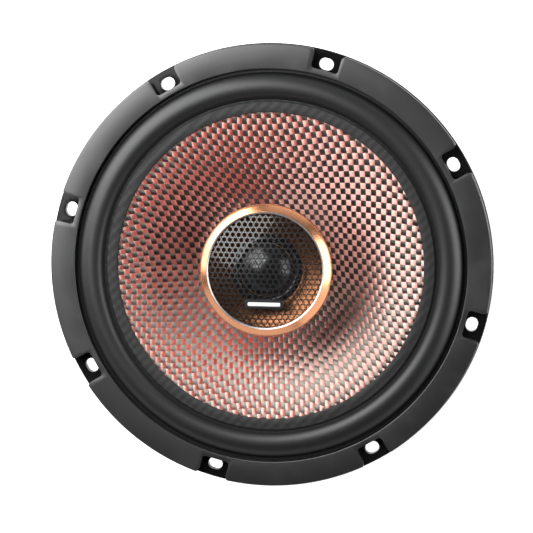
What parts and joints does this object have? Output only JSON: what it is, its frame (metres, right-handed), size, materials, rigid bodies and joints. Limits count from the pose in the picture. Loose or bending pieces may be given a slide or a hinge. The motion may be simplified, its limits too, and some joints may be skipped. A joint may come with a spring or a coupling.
{
  "type": "coaxial car speaker",
  "caption": "Round coaxial car speaker: woven cone woofer in a stamped steel basket with a notched gasket, and a grilled dome tweeter on a post through its centre.",
  "frame": {"origin": "centre of the back of the magnet boot, which the speaker rests on", "axes": "+Z is the axis of both drivers and points out of the front; the terminals are at -Y"},
  "size_m": [0.165, 0.165, 0.0856],
  "materials": {
    "moulded_rubber": "satin dark grey moulded rubber with a fine grain",
    "surround_rubber": "smooth satin black butyl rubber",
    "boot_rubber": "matte black rubber",
    "black_paint": "glossy black paint on pressed steel",
    "zinc_steel": "bright zinc plating",
    "ferrite": "matte dark grey ground ferrite",
    "neodymium": "nickel plating",
    "woven_fibre": "plain weave of copper-pink and black yarns under clear resin",
    "copper_anodised": "polished copper-coloured anodised aluminium with a bright turned inner edge",
    "black_mesh": "satin black perforated steel",
    "silk": "satin black coated silk",
    "coil_wire": "enamelled copper wire",
    "coil_former": "amber polyimide film",
    "spider_cloth": "dark resin-treated cloth",
    "phenolic": "brown phenolic board",
    "tinned_brass": "tinned brass",
    "cap_sleeve": "dark blue shrink sleeve",
    "red_insulation": "red wire insulation",
    "black_insulation": "black wire insulation",
    "silver_braid": "tinned copper braid",
    "black_plastic": "satin black moulded plastic",
    "adhesive": "cured pale adhesive"
  },
  "bodies": {
    "frame": {"magnet_boot": "boot_rubber", "yoke": "zinc_steel", "ferrite_magnet": "ferrite", "top_plate": "zinc_steel", "basket": "black_paint", "basket_screw_1": "zinc_steel", "basket_screw_2": "zinc_steel", "basket_screw_3": "zinc_steel", "basket_screw_4": "zinc_steel", "gasket": "moulded_rubber", "surround": "surround_rubber", "spider": "spider_cloth", "tweeter_post": "zinc_steel", "post_washer": "zinc_steel", "post_nut": "zinc_steel", "tweeter_housing": "black_plastic", "tweeter_yoke": "zinc_steel", "tweeter_magnet": "neodymium", "tweeter_top_plate": "zinc_steel", "tweeter_horn": "copper_anodised", "tweeter_bezel": "copper_anodised", "tweeter_grille": "black_mesh", "badge_plate": "black_plastic", "tweeter_surround": "silk", "terminal_board": "phenolic", "terminal_tab_positive": "tinned_brass", "terminal_tab_negative": "tinned_brass", "terminal_rivet_1": "tinned_brass", "terminal_rivet_2": "tinned_brass", "tinsel_lead_positive": "silver_braid", "tinsel_lead_negative": "silver_braid", "capacitor": "cap_sleeve", "capacitor_glue": "adhesive", "capacitor_lead": "red_insulation", "tweeter_wire_positive": "red_insulation", "tweeter_wire_negative": "black_insulation"},
    "woofer_diaphragm": {"cone": "woven_fibre", "voice_coil_former": "coil_former", "voice_coil": "coil_wire", "lead_eyelet_positive": "tinned_brass", "lead_eyelet_negative": "tinned_brass"},
    "tweeter_diaphragm": {"tweeter_dome": "silk", "tweeter_former": "coil_former", "tweeter_coil": "coil_wire"}
  },
  "joints": [
    {"name": "cone_travel", "type": "slide", "parent": "frame", "child": "woofer_diaphragm", "axis": [0, 0, 1], "range_m": [-0.005, 0.005], "stiffness_N_per_m": 2500, "deforming": ["surround", "spider", "tinsel_lead_positive", "tinsel_lead_negative"]},
    {"name": "tweeter_dome_travel", "type": "slide", "parent": "frame", "child": "tweeter_diaphragm", "axis": [0, 0, 1], "range_m": [-0.0003, 0.0003], "stiffness_N_per_m": 200, "deforming": ["tweeter_surround"]}
  ]
}
